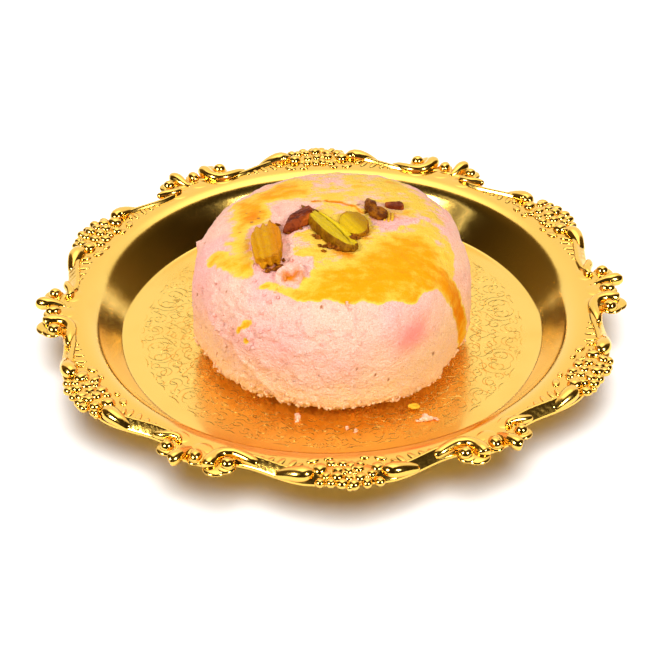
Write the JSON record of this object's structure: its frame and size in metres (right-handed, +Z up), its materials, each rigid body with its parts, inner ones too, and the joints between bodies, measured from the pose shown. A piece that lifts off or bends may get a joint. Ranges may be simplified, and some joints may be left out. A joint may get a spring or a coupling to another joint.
{
  "type": "plate of cham cham",
  "caption": "Round pink cham cham sweet with yellow syrup and pistachio, on a shallow gold tray with a scrolled and berried rim.",
  "frame": {"origin": "centre of the flat underside of the tray", "axes": "+Z up, out of the well; -Y through the middle of one berry cluster of the rim, the side shown nearest"},
  "size_m": [0.1278, 0.1258, 0.0341],
  "materials": {
    "gold_tray": "mirror-bright gold metallised",
    "curd": "moist crumbly curd, pink with yellow syrup",
    "pistachio_green": "cut nut, satin",
    "pistachio_ochre": "syrup-stained nut, satin",
    "pistachio_skin": "papery nut skin"
  },
  "bodies": {
    "root": {"tray": "gold_tray", "cham_cham": "curd", "pistachio_sliver": "pistachio_green", "pistachio_half": "pistachio_green", "pistachio_wedge": "pistachio_skin", "pistachio_chunk": "pistachio_ochre", "pistachio_lobes": "pistachio_skin", "pistachio_flake": "pistachio_skin"}
  },
  "joints": []
}
